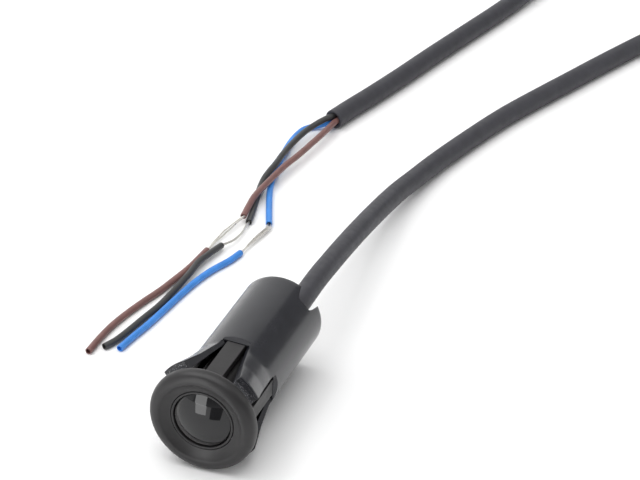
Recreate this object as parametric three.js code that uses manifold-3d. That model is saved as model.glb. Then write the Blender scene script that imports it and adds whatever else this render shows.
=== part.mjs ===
// Snap-in photoelectric sensor head with its cable. Millimetres, +Z up.
// The head lies on a surface at z = 0 with its optical axis along +Y (lens faces -Y),
// resting on the rim of its flange. The origin is under the middle of the head.
import * as THREE from 'three';
import { mergeVertices } from 'three/addons/utils/BufferGeometryUtils.js';
import Module from 'manifold-3d';

const wasm = await Module();
wasm.setup();

// ---------- driving dimensions of the head (y counted from the flange's widest circle) ----------
const BARREL_R = 7;          // for a 14 mm panel hole
const WALL = 0.8;
const FLANGE_R = 8.85;
const CREST_R = 7.4;         // foremost circle of the flange's rounded lip
const CREST_Y = -1.7;
const SEAT_Y = 0.7;          // rear face of the flange, which seats on the panel
const REAR_Y = 31.95;        // rear rim of the barrel
const ROLL = THREE.MathUtils.degToRad(4); // the head lies rolled about its axis by this much

const RING_R = 5.2;          // lip round the lens
const RING_BORE = 4.8;
const RING_Y = -0.8;
const TUBE_R = 4.7;
const TUBE_BORE = 4.1;
const TUBE_END_Y = 12;

const LENS_R = 4.6;
const LENS_SAG = 1.1;
const LENS_EDGE_Y = -0.45;

const LEG_HALF = 1.52;       // half the width of a guide leg
const LEG_FACE = 6.45;       // height of its flat outer face above the axis
const LEG_UNDER = 5.35;
const LEG_END_Y = 12.3;

const WING_ROOT_Y = 11.5;
const WING_ROOT_HALF = 2.93; // half widths of a wing at its root and its barb
const WING_BARB_HALF = 2.2;
const BARB_R = 9.2;
const BARB_Y = 2.3;
const TONGUE_R = 8.2;
const TONGUE_END_Y = 1.15;

const BARREL_FRONT_Y = 11.8;
const NOTCH_FLOOR_Y = 29.05;
const NOTCH_ANGLE = THREE.MathUtils.degToRad(44);

const CABLE_R = 1.85;
const WIRE_R = 0.575;
const STRAND_R = 0.36;
const EXIT_X = 2.9;          // the cable leaves the barrel off its axis, towards the notch
const EXIT_Z = 2.3;
const JACKET_FRONT_Y = 22.5; // where the jacket ends inside the barrel
const GAP = 0.3;             // between solids that meet
const SOLDER = 0.1;          // between the board and what is soldered to it

const HEAD_Y = -(CREST_Y + REAR_Y) / 2;
const AXIS_Z = FLANGE_R;

// ---------- materials ----------
function plastic(color, roughness) {
  return new THREE.MeshStandardMaterial({ color, roughness, metalness: 0 });
}
const glossyBlack = plastic(0x1d1d20, 0.3);
const matteBlack = plastic(0x252427, 0.6);
const lensDark = plastic(0x101013, 0.08);
const jacketGrey = plastic(0x2b2a2d, 0.7);
const wireBrown = plastic(0x6e4540, 0.5);
const wireBlack = plastic(0x28282a, 0.5);
const wireBlue = plastic(0x3b82d6, 0.45);
const tieWhite = plastic(0xd9d9d6, 0.5);
const boardGreen = plastic(0x1f6b3a, 0.5);
const partBlack = plastic(0x1a1a1a, 0.5);
const partTan = plastic(0xb09468, 0.5);
const potting = plastic(0x202022, 0.35);
const metal = new THREE.MeshStandardMaterial({ color: 0xcfccc4, roughness: 0.35, metalness: 1 });

// ---------- helpers ----------
function toSolid(geometry) {
  const bare = geometry.clone();
  bare.deleteAttribute('normal');
  bare.deleteAttribute('uv');
  const merged = mergeVertices(bare, 1e-4);
  const index = merged.index.array;
  const kept = [];
  for (let i = 0; i < index.length; i += 3) {
    const [a, b, c] = [index[i], index[i + 1], index[i + 2]];
    if (a !== b && b !== c && c !== a) kept.push(a, b, c);
  }
  return new wasm.Manifold(new wasm.Mesh({
    numProp: 3,
    vertProperties: new Float32Array(merged.attributes.position.array),
    triVerts: new Uint32Array(kept),
  }));
}

function toGeometry(solid) {
  const mesh = solid.getMesh();
  const geometry = new THREE.BufferGeometry();
  geometry.setAttribute('position', new THREE.BufferAttribute(mesh.vertProperties, 3));
  geometry.setIndex(new THREE.BufferAttribute(mesh.triVerts, 1));
  geometry.computeVertexNormals();
  return geometry;
}

function mesh(name, geometry, material, parent) {
  const piece = new THREE.Mesh(geometry, material);
  piece.name = name;
  parent.add(piece);
  return piece;
}

// A ring or disc about the Y axis from [radius, y] corners in order.
function turned(corners, segments = 48) {
  const points = corners.map(([r, y]) => new THREE.Vector2(r, y));
  const closed = corners[0][0] > 0;
  if (closed) points.push(points[0].clone());
  return new THREE.LatheGeometry(points, segments);
}

function ring(inner, outer, y0, y1, segments = 48) {
  return turned([[inner, y0], [outer, y0], [outer, y1], [inner, y1]], segments);
}

// A box from its lowest to its highest corner.
function block(low, high) {
  const size = high.map((value, i) => value - low[i]);
  const box = new THREE.BoxGeometry(...size);
  return box.translate(...low.map((value, i) => value + size[i] / 2));
}

function curve(points) {
  const path = points.map((point) => new THREE.Vector3(...point));
  return new THREE.CatmullRomCurve3(path, false, 'catmullrom', 0.5);
}

// A round solid tube along a curve through the points.
function tube(points, radius, steps, sides = 8) {
  const section = new THREE.Shape();
  for (let i = 0; i < sides; i++) {
    const turn = (2 * Math.PI * i) / sides;
    const [x, y] = [radius * Math.cos(turn), radius * Math.sin(turn)];
    if (i === 0) section.moveTo(x, y);
    else section.lineTo(x, y);
  }
  return new THREE.ExtrudeGeometry(section, { steps, bevelEnabled: false, extrudePath: curve(points) });
}

// ---------- groups ----------
const sensor = new THREE.Group();
const head = new THREE.Group();   // y = 0 at the flange's widest circle, z = 0 on the axis
head.position.set(0, HEAD_Y, AXIS_Z);
const rolled = new THREE.Group(); // the moulded shell, which lies rolled on its rim
rolled.rotation.y = ROLL;
head.add(rolled);
sensor.add(head);

// ---------- bezel collar: flange, four guide legs and the spigot that holds them ----------
function flangeRing() {
  const outline = new THREE.Path();
  outline.moveTo(RING_R + 0.15, RING_Y + 0.1);
  outline.quadraticCurveTo(6.3, -1.05, CREST_R - 0.45, CREST_Y + 0.12);
  outline.quadraticCurveTo(CREST_R, CREST_Y - 0.06, CREST_R + 0.45, CREST_Y + 0.12);
  outline.quadraticCurveTo(FLANGE_R, -1.25, FLANGE_R, 0);
  outline.quadraticCurveTo(FLANGE_R, 0.6, FLANGE_R - 0.3, SEAT_Y);
  const corners = outline.getPoints(4).map(({ x, y }) => [x, y]);
  return turned([...corners, [RING_R + 0.15, SEAT_Y]], 64);
}

function guideLeg() {
  const bar = block([-LEG_HALF, 0.3, LEG_UNDER], [LEG_HALF, LEG_END_Y, LEG_FACE]);
  const tab = block([-1.3, LEG_END_Y - 0.4, LEG_UNDER], [1.3, 13.4, 5.9]);
  return toSolid(bar).add(toSolid(tab));
}

function bezelCollar() {
  const spigot = ring(5.2, 6.05, 12.9, 14.6);
  let collar = toSolid(flangeRing()).add(toSolid(spigot));
  for (let k = 0; k < 4; k++) collar = collar.add(guideLeg().rotate([0, 90 * k, 0]));
  return toGeometry(collar);
}
mesh('bezel_collar', bezelCollar(), matteBlack, rolled);

// ---------- barrel: tube with a ramp behind each leg and a notch for the cable ----------
function legRamp() {
  const rise = 0.9; // slope of the ramp
  const [low, far] = [6.2, 3];
  const start = LEG_END_Y + 0.12;
  const wedge = new THREE.Shape();
  wedge.moveTo(start - 1, LEG_FACE - rise);
  wedge.lineTo(start + far, LEG_FACE + rise * far);
  wedge.lineTo(start - 1, LEG_FACE + rise * far);
  const prism = new THREE.ExtrudeGeometry(wedge, { depth: 4.5, bevelEnabled: false });
  prism.translate(0, 0, -2.25);
  prism.applyMatrix4(new THREE.Matrix4().set(0, 0, 1, 0, 1, 0, 0, 0, 0, 1, 0, 0, 0, 0, 0, 1));
  const slot = block([-2.1, start - 1, low - 1], [2.1, LEG_END_Y + 0.35, BARREL_R + 1]);
  return toSolid(prism).add(toSolid(slot));
}

function cableNotch() {
  const outline = new THREE.Shape();
  const [rim, floor] = [2.1, 0.9];
  outline.moveTo(rim + 0.4, REAR_Y + 1);
  outline.lineTo(-rim - 0.4, REAR_Y + 1);
  outline.lineTo(-rim, REAR_Y);
  outline.quadraticCurveTo(-1.6, NOTCH_FLOOR_Y, -floor, NOTCH_FLOOR_Y);
  outline.lineTo(floor, NOTCH_FLOOR_Y);
  outline.quadraticCurveTo(1.6, NOTCH_FLOOR_Y, rim, REAR_Y);
  const cut = new THREE.ExtrudeGeometry(outline, { depth: 4, bevelEnabled: false, curveSegments: 6 });
  return toSolid(cut.translate(0, 0, BARREL_R - 2.5).rotateY(NOTCH_ANGLE));
}

function barrelHousing() {
  const bore = BARREL_R - WALL;
  const edge = 0.15;
  const shell = turned([
    [bore, BARREL_FRONT_Y], [BARREL_R, BARREL_FRONT_Y], [BARREL_R, REAR_Y - edge],
    [BARREL_R - edge, REAR_Y], [bore, REAR_Y],
  ], 64);
  let barrel = toSolid(shell).subtract(cableNotch());
  for (let k = 0; k < 4; k++) barrel = barrel.subtract(legRamp().rotate([0, 90 * k, 0]));
  return toGeometry(barrel);
}
mesh('barrel_housing', barrelHousing(), glossyBlack, rolled);

// ---------- snap wings: curved blades that flare from the barrel to a barb ----------
function snapWing() {
  const blade = new THREE.Shape(); // x is the radius, y runs along the axis
  blade.moveTo(BARREL_R, WING_ROOT_Y);
  blade.lineTo(7.9, 6.6);
  blade.lineTo(BARB_R, BARB_Y);
  blade.lineTo(TONGUE_R + 0.05, BARB_Y - 0.25);
  blade.lineTo(TONGUE_R, TONGUE_END_Y);
  blade.lineTo(TONGUE_R - 0.7, TONGUE_END_Y);
  blade.lineTo(TONGUE_R - 0.65, BARB_Y + 0.3);
  blade.lineTo(BARREL_R - WALL, WING_ROOT_Y);
  const wing = new THREE.ExtrudeGeometry(blade, { depth: 2, steps: 8, bevelEnabled: false });
  const at = wing.attributes.position;
  const along = WING_ROOT_Y - BARB_Y;
  for (let i = 0; i < at.count; i++) {
    const [r, y, side] = [at.getX(i), at.getY(i), at.getZ(i) - 1];
    const half = WING_BARB_HALF + ((WING_ROOT_HALF - WING_BARB_HALF) * (y - BARB_Y)) / along;
    const turn = -side * Math.asin(half / r);
    at.setXYZ(i, r * Math.sin(turn), y, r * Math.cos(turn));
  }
  return wing;
}
for (let k = 0; k < 4; k++) {
  const wing = mesh(`snap_wing_${k + 1}`, snapWing(), glossyBlack, rolled);
  wing.rotation.y = Math.PI / 4 + (k * Math.PI) / 2;
}

// ---------- optics ----------
mesh('optic_tube', turned([
  [RING_BORE, RING_Y], [RING_R, RING_Y], [RING_R, SEAT_Y], [TUBE_R, SEAT_Y + 0.2],
  [TUBE_R, TUBE_END_Y], [TUBE_BORE, TUBE_END_Y], [TUBE_BORE, 1.15], [RING_BORE, 1.15],
]), matteBlack, head);

function lensProfile() {
  const ball = (LENS_R ** 2 + LENS_SAG ** 2) / (2 * LENS_SAG);
  const span = Math.asin(LENS_R / ball);
  const dome = [];
  for (let i = 0; i <= 8; i++) {
    const turn = (span * i) / 8;
    dome.push([ball * Math.sin(turn), LENS_EDGE_Y - LENS_SAG + ball * (1 - Math.cos(turn))]);
  }
  return [...dome, [LENS_R, 0.85], [3.8, 0.85], [3.8, 2.6], [0, 2.6]];
}
mesh('lens', turned(lensProfile()), lensDark, head);

// ---------- electronics ----------
const BOARD_TOP = -0.8;
mesh('circuit_board', block([-4.4, 13, BOARD_TOP - 0.8], [4.4, 24.4, BOARD_TOP]), boardGreen, head);
mesh('detector', block([-1.6, 9.6, -1.6], [1.6, 11.4, 1.6]), partBlack, head);
for (const [name, x] of [['detector_lead_a', -0.8], ['detector_lead_b', 0.8]]) {
  const low = [x - 0.2, 11.4 + SOLDER, BOARD_TOP + SOLDER];
  mesh(name, block(low, [x + 0.2, 14, BOARD_TOP + SOLDER + 0.3]), metal, head);
}

// Each chip: name, middle x and y on the board, width, length, height.
const CHIPS = [
  ['amplifier_ic', -1.4, 17.2, 3.9, 4.9, 1.5, partBlack],
  ['output_transistor', 2.9, 15.5, 1.3, 2.9, 1.0, partBlack],
  ['protection_diode', 2.9, 18.3, 1.4, 2.0, 1.0, partBlack],
  ['capacitor_a', -3.0, 21.2, 1.6, 0.8, 0.8, partTan],
  ['capacitor_b', -3.0, 22.8, 1.6, 0.8, 0.8, partTan],
  ['resistor_a', -0.4, 20.9, 0.8, 1.6, 0.5, partBlack],
  ['resistor_b', -0.4, 23, 0.8, 1.6, 0.5, partBlack],
];
for (const [name, x, y, width, length, height, material] of CHIPS) {
  const foot = BOARD_TOP + SOLDER;
  const low = [x - width / 2, y - length / 2, foot];
  mesh(name, block(low, [x + width / 2, y + length / 2, foot + height]), material, head);
}

// ---------- rear closure: potting with the cable through it, and the crimped clamp ----------
const cableBore = new THREE.CylinderGeometry(CABLE_R + 0.2, CABLE_R + 0.2, 8, 24);
cableBore.translate(EXIT_X, 27, EXIT_Z);
const plug = toSolid(turned([[0, 25.4], [6.05, 25.4], [6.05, 28.4], [0, 28.4]]));
mesh('rear_potting', toGeometry(plug.subtract(toSolid(cableBore))), potting, head);
const clamp = ring(CABLE_R + 0.15, CABLE_R + 0.42, 23, 25, 24).translate(EXIT_X, 0, EXIT_Z);
mesh('cable_clamp', clamp, metal, head);

// The three wires inside the barrel, from the end of the jacket down to the board.
const PAD_Z = BOARD_TOP + 0.15;
const CORES = [
  ['core_brown', wireBrown, [[2.9, 22.2, 3.1], [2.9, 20.7, 2.8], [2.9, 20.3, 1.2], [2.9, 20.3, PAD_Z]]],
  ['core_black', wireBlack, [[2.25, 22.2, 1.95], [1.4, 21.6, 1.7], [1.1, 21.5, 0.7], [1.1, 21.5, PAD_Z]]],
  ['core_blue', wireBlue, [[3.55, 22.2, 1.95], [3.75, 21.8, 1.5], [3.8, 21.8, 0.6], [3.8, 21.8, PAD_Z]]],
];
for (const [name, material, points] of CORES) {
  mesh(name, tube(points, 0.45, 6, 8), material, head);
}

// ---------- cable: from inside the barrel to the coil, and from the coil to the stripped end ----
const COIL_X = 24;
const COIL_Y = 203;
const COIL_INNER_R = 11.7;
const COIL_OUTER_R = 28.3;
const COIL_FOOT = 0.7;       // the tie under the coil lifts it by this much
const COIL_TOP = 14.2;

const JACKET_Y = JACKET_FRONT_Y + HEAD_Y;
const LEAD_Z = AXIS_Z + EXIT_Z;
const LEAD_ROUTE = [
  [EXIT_X, JACKET_Y, LEAD_Z], [EXIT_X, 12, LEAD_Z], [EXIT_X, 17, LEAD_Z],
  [2.85, 20.4, 11.1], [2.7, 23.9, 10.9], [2.5, 27.9, 10.5], [2.35, 32.2, 9.95],
  [2.0, 39.3, 8.85], [1.6, 47.5, 7.4], [1.2, 58.2, 5.4], [1.25, 68.9, 3.6],
  [2.05, 77.2, 2.5], [3.5, 85.5, 2.0], [6.2, 95.7, 1.86], [9.1, 105.1, 1.86],
  [11.9, 112.5, 1.86], [16.0, 122.4, 1.86], [20.8, 134, 1.86], [25.8, 145.4, 1.86],
  [31.4, 156.6, 1.95], [37.4, 167.6, 2.2], [42.7, 178.3, 2.45],
];
const TAIL_ROUTE = [
  [-0.6, 184, 8.8], [-0.55, 178.5, 6.7], [-0.9, 171, 4.3], [-1.8, 163, 2.6], [-3.5, 155.2, 1.95],
  [-5.3, 148, 1.86], [-7.2, 141, 1.86], [-9.4, 133, 1.86], [-11.6, 124.9, 1.86],
  [-14.2, 114.8, 1.86], [-16.8, 105.5, 1.86], [-18.9, 98.6, 1.86], [-20.2, 93.9, 1.86],
];
mesh('cable_lead', tube(LEAD_ROUTE, CABLE_R, 34), jacketGrey, sensor);
mesh('cable_tail', tube(TAIL_ROUTE, CABLE_R, 20), jacketGrey, sensor);

function coilRing() {
  const soft = 2; // rounding of the bundle
  const bundle = [
    [COIL_INNER_R + soft, COIL_FOOT], [COIL_OUTER_R - soft, COIL_FOOT],
    [COIL_OUTER_R, COIL_FOOT + soft], [COIL_OUTER_R, COIL_TOP - soft],
    [COIL_OUTER_R - soft, COIL_TOP], [COIL_INNER_R + soft, COIL_TOP],
    [COIL_INNER_R, COIL_TOP - soft], [COIL_INNER_R, COIL_FOOT + soft],
  ];
  return turned(bundle, 40).rotateX(Math.PI / 2);
}
const coilPlace = new THREE.Group();
coilPlace.position.set(COIL_X, COIL_Y, 0);
sensor.add(coilPlace);
mesh('cable_coil', coilRing(), jacketGrey, coilPlace);

// A band round the bundle of turns, with its own thickness under the coil.
function coilTie() {
  const [band, width] = [0.35, 2.6];
  const rectangle = (path, margin) => {
    const [left, right] = [COIL_INNER_R - margin, COIL_OUTER_R + margin];
    const [low, high] = [COIL_FOOT - margin, COIL_TOP + margin];
    path.moveTo(left, low);
    path.lineTo(right, low);
    path.lineTo(right, high);
    path.lineTo(left, high);
    return path;
  };
  const outline = rectangle(new THREE.Shape(), GAP + band);
  outline.holes.push(rectangle(new THREE.Path(), GAP));
  const tie = new THREE.ExtrudeGeometry(outline, { depth: width, bevelEnabled: false });
  return tie.translate(0, 0, -width / 2).rotateX(Math.PI / 2);
}
const tie = mesh('coil_tie', coilTie(), tieWhite, coilPlace);
tie.rotation.z = THREE.MathUtils.degToRad(60);

// ---------- the three wires of the stripped end ----------
// Each wire: the insulated stretch, the bare strands, and the pulled-off end sleeve.
const WIRES = {
  brown: {
    material: wireBrown,
    insulation: [
      [-19.7, 93.1, 1.75], [-19.8, 90.6, 1.95], [-20.0, 88.2, 2.0], [-20.3, 85.9, 1.95],
      [-20.7, 83.2, 1.9], [-21.1, 80.2, 1.9], [-21.55, 77.3, 1.9], [-22.05, 74.8, 1.9],
      [-22.4, 72.3, 1.9], [-22.65, 69.4, 1.9], [-22.9, 66.4, 1.9], [-23.1, 63.7, 1.9],
      [-23.15, 61.2, 1.9], [-23.0, 58.7, 1.7], [-22.7, 55.2, 1.35],
    ],
    strands: [
      [-22.75, 54.85, 1.25], [-23.35, 53.5, 0.95], [-23.8, 51.6, 0.7], [-24.15, 50.1, 0.6],
      [-24.3, 48.2, 0.6], [-24.55, 46.4, 0.6], [-24.6, 43.8, 0.6],
    ],
    sleeve: [
      [-24.65, 43.2, 0.6], [-25.15, 37.2, 0.6], [-26.0, 32.4, 0.6], [-26.9, 28.1, 0.6],
      [-28.1, 23.8, 0.6], [-29.2, 19.2, 0.6], [-29.9, 15.1, 0.6], [-30.2, 10.9, 0.6],
      [-30.25, 6.7, 0.6],
    ],
  },
  black: {
    material: wireBlack,
    insulation: [
      [-20.65, 93.5, 2.5], [-21.1, 92.5, 2.6], [-22.0, 90.9, 2.4], [-22.85, 89.2, 2.1],
      [-23.5, 87.1, 1.95], [-23.9, 84.0, 1.9], [-24.15, 80.6, 1.85], [-24.2, 77.5, 1.85],
      [-24.15, 74.2, 1.75], [-24.35, 71.5, 1.5], [-24.55, 69.2, 0.95], [-24.1, 66.0, 0.6],
      [-23.15, 62.1, 0.6], [-22.3, 58.5, 0.6], [-21.5, 54.8, 0.6],
    ],
    strands: [
      [-21.45, 54.25, 0.6], [-21.35, 52.5, 0.6], [-21.2, 50.7, 0.65], [-21.3, 49.0, 0.75],
      [-21.5, 47.6, 0.85], [-21.9, 46.6, 0.9], [-22.4, 45.6, 0.95],
    ],
    sleeve: [
      [-22.7, 45.1, 0.95], [-23.4, 41.8, 1.1], [-24.0, 38.2, 1.27], [-24.1, 34.3, 1.1],
      [-24.5, 29.7, 0.8], [-25.0, 23.9, 0.65], [-25.95, 18.9, 0.6], [-26.8, 14.0, 0.6],
      [-27.5, 11.0, 0.6], [-28.4, 8.9, 0.6],
    ],
  },
  blue: {
    material: wireBlue,
    insulation: [
      [-21.0, 93.3, 1.3], [-21.7, 92.95, 1.05], [-22.7, 92.5, 0.8], [-24.0, 91.6, 0.6],
      [-25.0, 89.9, 0.6], [-25.4, 86.7, 0.6], [-25.3, 83.0, 0.6], [-24.9, 79.5, 0.6],
      [-24.35, 76.4, 0.6], [-23.9, 73.9, 0.6], [-23.5, 71.4, 0.6], [-22.95, 69.0, 0.6],
      [-22.1, 66.2, 0.6], [-20.9, 63.0, 0.6], [-19.6, 59.7, 0.6], [-17.9, 55.5, 0.6],
    ],
    strands: [
      [-17.8, 55.1, 0.6], [-17.55, 54.1, 0.6], [-17.7, 53.0, 0.6], [-18.05, 50.8, 0.6],
      [-18.3, 49.1, 0.6], [-18.5, 47.2, 0.6], [-18.75, 45.0, 0.6],
    ],
    sleeve: [
      [-18.85, 44.5, 0.6], [-19.7, 41.2, 0.6], [-21.3, 37.1, 0.6], [-22.4, 32.7, 0.6],
      [-23.1, 28.1, 0.6], [-23.7, 23.2, 0.6], [-24.4, 17.7, 0.6], [-25.2, 13.3, 0.6],
      [-25.8, 9.3, 0.6],
    ],
  },
};
for (const [colour, wire] of Object.entries(WIRES)) {
  mesh(`wire_${colour}`, tube(wire.insulation, WIRE_R, 20), wire.material, sensor);
  mesh(`strands_${colour}`, tube(wire.strands, STRAND_R, 6, 8), metal, sensor);
  mesh(`sleeve_${colour}`, tube(wire.sleeve, WIRE_R, 14), wire.material, sensor);
}

export default sensor;
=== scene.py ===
# The looks of a snap-in photoelectric sensor head and its cable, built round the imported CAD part.
# Metres, +Z up. The head lies along Y with its lens facing -Y, as in the frame.
import math

import bmesh
import bpy
from mathutils import Matrix, Vector


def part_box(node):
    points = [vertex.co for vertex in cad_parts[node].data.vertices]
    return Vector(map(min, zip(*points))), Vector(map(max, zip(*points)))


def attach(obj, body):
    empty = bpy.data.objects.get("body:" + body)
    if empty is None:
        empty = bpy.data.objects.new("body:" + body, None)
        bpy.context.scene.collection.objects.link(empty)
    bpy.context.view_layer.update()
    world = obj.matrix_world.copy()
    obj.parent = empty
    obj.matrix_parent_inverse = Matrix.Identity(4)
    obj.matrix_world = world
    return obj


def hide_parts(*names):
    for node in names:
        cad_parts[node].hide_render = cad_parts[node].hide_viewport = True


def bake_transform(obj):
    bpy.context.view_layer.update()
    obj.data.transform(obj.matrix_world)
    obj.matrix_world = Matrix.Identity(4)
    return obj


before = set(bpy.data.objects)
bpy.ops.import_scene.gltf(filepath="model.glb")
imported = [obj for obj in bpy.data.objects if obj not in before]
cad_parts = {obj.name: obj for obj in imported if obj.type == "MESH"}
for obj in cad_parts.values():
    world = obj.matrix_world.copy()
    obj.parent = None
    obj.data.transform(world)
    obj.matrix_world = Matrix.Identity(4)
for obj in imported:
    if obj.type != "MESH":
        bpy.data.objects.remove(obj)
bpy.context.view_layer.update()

MM = 0.001

# ---------- driving dimensions of the head, as in the CAD part ----------
# In the head's own frame y is 0 at the flange's widest circle, and the axis is x = z = 0.
COLLAR_LOW, COLLAR_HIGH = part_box("bezel_collar")
FLANGE_R = (COLLAR_HIGH[0] - COLLAR_LOW[0]) / 2
CREST_Y = -1.7 * MM
HEAD_Y = COLLAR_LOW[1] - CREST_Y
AXIS_Z = (COLLAR_LOW[2] + COLLAR_HIGH[2]) / 2
ROLL = math.radians(4)

BARREL_R = 7.0 * MM
BORE_R = 6.2 * MM
BARREL_FRONT_Y = 11.8 * MM
REAR_Y = 31.95 * MM

SEAT_Y = 0.7 * MM       # the flange's rear face
CREST_R = 7.4 * MM
FUNNEL_CONTROL = (6.3 * MM, -1.05 * MM)
RING_GAP = 0.09 * MM
SPIGOT_BORE = 5.2 * MM
SPIGOT_R = 6.05 * MM
SPIGOT_START_Y = 12.9 * MM
SPIGOT_END_Y = 14.6 * MM

RING_R = 5.2 * MM
RING_BORE = 4.8 * MM
RING_Y = -0.8 * MM
LENS_R = 4.6 * MM
LENS_SAG = 1.1 * MM
LENS_EDGE_Y = -0.45 * MM
LENS_RIM_Y = 0.85 * MM
LENS_SPIGOT_R = 3.8 * MM
LENS_BACK_Y = 2.6 * MM
TUBE_R = 4.7 * MM
TUBE_BORE = 4.1 * MM
TUBE_SEAT_Y = 1.15 * MM
TUBE_END_Y = 12.0 * MM

LEG_HALF = 1.52 * MM
LEG_FACE = 6.45 * MM
LEG_UNDER = 5.35 * MM
LEG_START_Y = 0.2 * MM
LEG_END_Y = 12.3 * MM
TAB_HALF = 1.3 * MM
TAB_TOP = 5.9 * MM
TAB_END_Y = 13.4 * MM
RAMP_RISE = 0.9         # how far the ramp rises per length
RAMP_GAP = 0.12 * MM
RAMP_LENGTH = 3.0 * MM
RAMP_HALF = 2.25 * MM
SLOT_HALF = 2.1 * MM
SLOT_FLOOR = 5.2 * MM

BARB_R = 9.2 * MM
BARB_Y = 2.3 * MM
BARB_HALF = 2.2 * MM
BARB_EDGE = 0.22 * MM
BEND_R = 7.9 * MM
BEND_Y = 6.6 * MM
FLARE_R = 7.17 * MM
FLARE_Y = 10.2 * MM
ROOT_HALF = 2.93 * MM
TONGUE_R = 8.2 * MM
TONGUE_END_Y = 1.15 * MM
TONGUE_WALL = 0.7 * MM
HINGE_Y = 11.5 * MM

NOTCH_FLOOR_Y = 29.05 * MM
NOTCH_HALF = 2.1 * MM
NOTCH_FLOOR_HALF = 0.9 * MM
NOTCH_ANGLE = math.radians(44)
POTTING_Y = 28.4 * MM
POTTING_START_Y = 25.4 * MM
POTTING_CLIMB = 0.35 * MM
POTTING_FILLET = 0.9 * MM

CABLE_R = 1.85 * MM
WIRE_R = 0.575 * MM
STRAND_R = 0.08 * MM
EXIT_X = 2.9 * MM
EXIT_Z = 2.3 * MM

# ---------- camera ----------
CAMERA_AT = (0.1400, -0.3275, 0.2470)
CAMERA_AZIMUTH = 21.15
CAMERA_ELEVATION = 31.09
CAMERA_LENS = 152.3
CAMERA_FILM = 36


def make_camera():
    camera = bpy.data.objects.new("camera", bpy.data.cameras.new("camera"))
    bpy.context.scene.collection.objects.link(camera)
    camera.location = CAMERA_AT
    camera.rotation_euler = (math.radians(90 - CAMERA_ELEVATION), 0, math.radians(CAMERA_AZIMUTH))
    camera.data.lens = CAMERA_LENS
    camera.data.sensor_width = CAMERA_FILM
    bpy.context.scene.camera = camera


make_camera()


# ---------- mesh helpers ----------
def new_object(name, mesh, smooth_angle=40):
    mesh.validate()
    piece = bpy.data.objects.new(name, mesh)
    bpy.context.scene.collection.objects.link(piece)
    mesh.shade_smooth()
    mesh.set_sharp_from_angle(angle=math.radians(smooth_angle))
    return piece


def mesh_from(build, *args):
    """A mesh made by a function that fills a bmesh."""
    form = bmesh.new()
    build(form, *args)
    bmesh.ops.recalc_face_normals(form, faces=form.faces)
    mesh = bpy.data.meshes.new("mesh")
    form.to_mesh(mesh)
    form.free()
    return mesh


def bridge(form, rings, closed=True):
    """Quads between rings of vertices that have the same count."""
    count = len(rings[0])
    for ring, following in zip(rings, rings[1:]):
        for i in range(count if closed else count - 1):
            j = (i + 1) % count
            form.faces.new((ring[i], ring[j], following[j], following[i]))


def bow(start, control, end, steps):
    """Points of a quadratic curve, without its last one."""
    points = []
    for i in range(steps):
        t = i / steps
        a, b, c = (1 - t) ** 2, 2 * t * (1 - t), t * t
        x, y = (a * start[axis] + b * control[axis] + c * end[axis] for axis in (0, 1))
        points.append((x, y))
    return points


def straight(start, end, steps):
    """Points of a straight line, without its last one."""
    middle = ((start[0] + end[0]) / 2, (start[1] + end[1]) / 2)
    return bow(start, middle, end, steps)


def lathe(form, profile, segments, closed=True):
    """A profile of (radius, y) points turned about the Y axis. A radius of 0 closes the end."""
    rings = []
    for radius, y in profile:
        if radius == 0:
            rings.append([form.verts.new((0, y, 0))])
            continue
        turns = [2 * math.pi * i / segments for i in range(segments)]
        rings.append([form.verts.new((radius * math.sin(a), y, radius * math.cos(a))) for a in turns])
    if closed:
        rings.append(rings[0])
    for ring, following in zip(rings, rings[1:]):
        if len(ring) == 1 or len(following) == 1:
            point, circle = (ring, following) if len(ring) == 1 else (following, ring)
            for i in range(segments):
                form.faces.new((point[0], circle[i], circle[(i + 1) % segments]))
        else:
            bridge(form, [ring, following])


def block(form, low, high):
    corners = [(x, y, z) for x in (low[0], high[0]) for y in (low[1], high[1]) for z in (low[2], high[2])]
    verts = [form.verts.new(corner) for corner in corners]
    for face in ((0, 1, 3, 2), (4, 6, 7, 5), (0, 4, 5, 1), (2, 3, 7, 6), (0, 2, 6, 4), (1, 5, 7, 3)):
        form.faces.new([verts[i] for i in face])


def prism(form, outline, low, high, place):
    """A flat outline pushed from low to high. place turns (u, v, depth) into a point."""
    ends = [[form.verts.new(place(u, v, depth)) for u, v in outline] for depth in (low, high)]
    bridge(form, ends)
    for end in ends:
        form.faces.new(end)


def baked(piece):
    """Applies the piece's modifiers."""
    graph = bpy.context.evaluated_depsgraph_get()
    mesh = bpy.data.meshes.new_from_object(piece.evaluated_get(graph))
    piece.modifiers.clear()
    piece.data = mesh
    return piece


def joined(piece, others, operation="UNION"):
    """Adds the other objects to the piece, or cuts them from it, and removes them."""
    for other in others:
        step = piece.modifiers.new("join", "BOOLEAN")
        step.operation = operation
        step.solver = "EXACT"
        step.object = other
    baked(piece)
    for other in others:
        bpy.data.objects.remove(other)
    return piece


def rounded(piece, width, segments=2, angle=35, keep=None):
    """Rounds the piece's sharp edges. keep says which points hold an edge that stays as it is."""
    form = bmesh.new()
    form.from_mesh(piece.data)
    limit = math.radians(angle)
    edges = [edge for edge in form.edges if edge.calc_face_angle(0) > limit]
    if keep is not None:
        edges = [edge for edge in edges if not all(keep(corner.co) for corner in edge.verts)]
    bmesh.ops.bevel(
        form, geom=edges, offset=width, offset_type="OFFSET", segments=segments, profile=0.5,
        affect="EDGES", clamp_overlap=True,
    )
    form.to_mesh(piece.data)
    form.free()
    piece.data.shade_smooth()
    piece.data.set_sharp_from_angle(angle=limit)
    return piece


def evened(piece):
    """Lets the large faces set the shading, so that a rounded edge doesn't darken what it borders."""
    weighted = piece.modifiers.new("even", "WEIGHTED_NORMAL")
    weighted.keep_sharp = True
    return baked(piece)


def turned_about_axis(piece, angle):
    piece.data.transform(Matrix.Rotation(angle, 4, "Y"))
    return piece


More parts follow.
